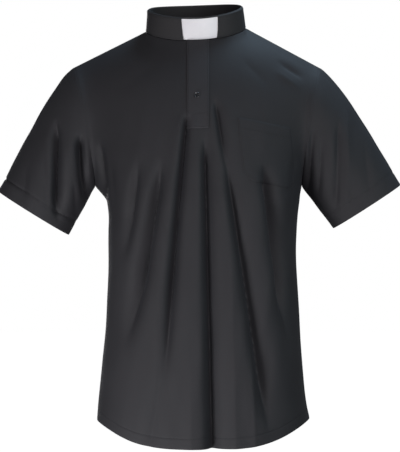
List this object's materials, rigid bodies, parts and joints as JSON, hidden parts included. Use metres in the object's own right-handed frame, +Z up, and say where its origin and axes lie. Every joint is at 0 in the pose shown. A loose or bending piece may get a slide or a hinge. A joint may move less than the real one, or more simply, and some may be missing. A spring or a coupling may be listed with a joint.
{
  "type": "clerical polo shirt",
  "caption": "Short-sleeved clerical polo shirt in near-black cloth, hollow and shaped as worn, with a standing band collar, white collar tab, half placket, chest pocket and curved hem.",
  "frame": {"origin": "midway between the two points where the shoulder seams meet the collar, where the shirt hangs on the wearer's shoulders", "axes": "+Z up along the body, +X towards the wearer's left, -Y out of the front"},
  "size_m": [0.692, 0.2623, 0.7609],
  "materials": {
    "cloth": "smooth fine knit with a soft sheen",
    "collar_cloth": "smooth, pressed and stiffened",
    "placket_cloth": "smooth, pressed and edge-stitched",
    "tab": "satin white",
    "button": "glossy"
  },
  "bodies": {
    "root": {"front": "cloth", "back": "cloth", "sleeve_right": "cloth", "sleeve_left": "cloth", "collar_outer": "collar_cloth", "collar_inner": "collar_cloth", "collar_tab": "tab", "placket_upper": "placket_cloth", "placket_under": "placket_cloth", "pocket": "cloth", "button": "button"}
  },
  "joints": []
}
